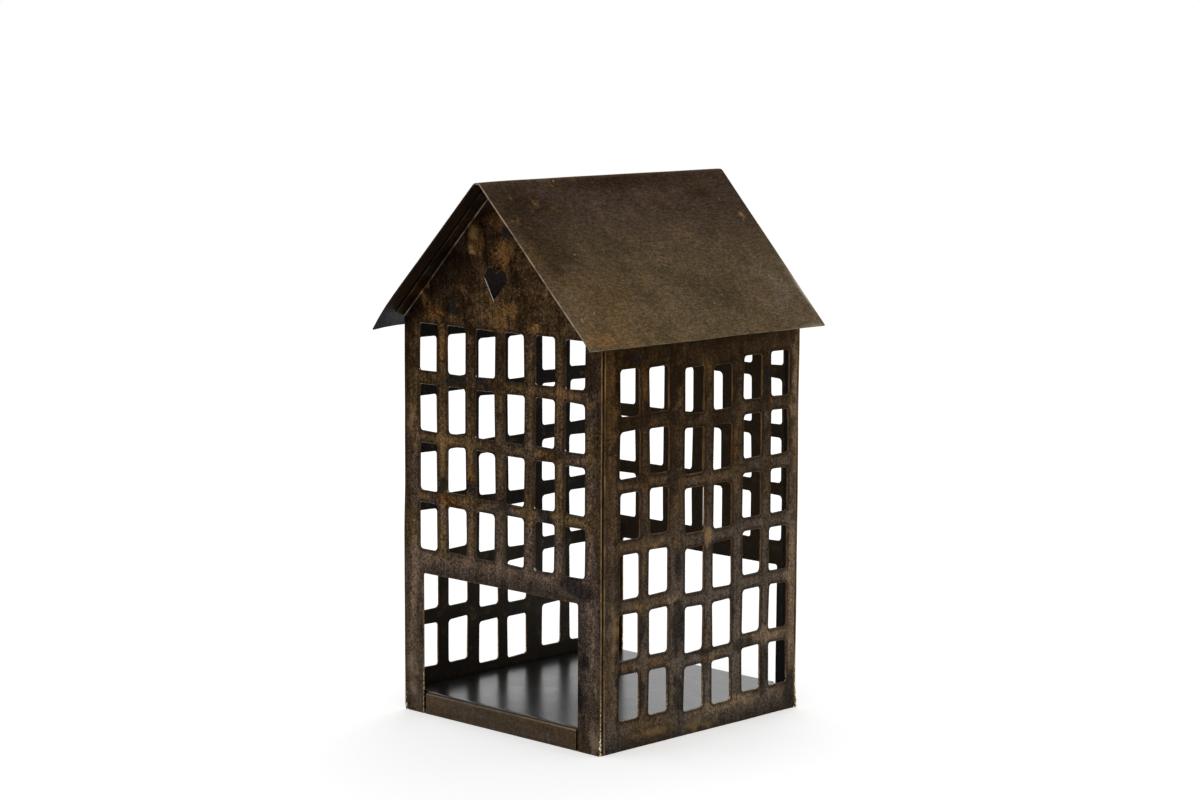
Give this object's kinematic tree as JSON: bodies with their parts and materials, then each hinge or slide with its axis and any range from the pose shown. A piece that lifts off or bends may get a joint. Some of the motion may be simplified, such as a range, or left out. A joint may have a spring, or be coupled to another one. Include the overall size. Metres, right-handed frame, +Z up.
{
  "type": "house lantern",
  "caption": "House-shaped candle lantern in aged sheet metal, with pierced window walls, a heart cut-out, an open doorway and a folded gable roof.",
  "frame": {"origin": "middle of the footprint, on the surface the lantern stands on", "axes": "+Z up; -Y out of the front doorway; +X to the right seen from the front, across the gables; the ridge runs along Y"},
  "size_m": [0.1564, 0.177, 0.2763],
  "materials": {
    "gable_sheet": "antique bronze patina, mottled orange brown and dark grey, half matt, with bright golden cut edges",
    "wall_sheet": "antique bronze patina with rubbed golden patches, half matt",
    "floor_sheet": "dark antique patina with a satin shine",
    "roof_sheet": "smoother olive brown patina, half matt, with fine speckle",
    "braze": "bright pale golden braze, rough as it cooled"
  },
  "bodies": {
    "root": {"front_gable": "gable_sheet", "rear_gable": "gable_sheet", "right_wall": "wall_sheet", "left_wall": "wall_sheet", "floor_tray": "floor_sheet", "roof": "roof_sheet", "braze_front_right": "braze", "braze_front_left": "braze", "braze_rear_right": "braze", "braze_rear_left": "braze"}
  },
  "joints": []
}
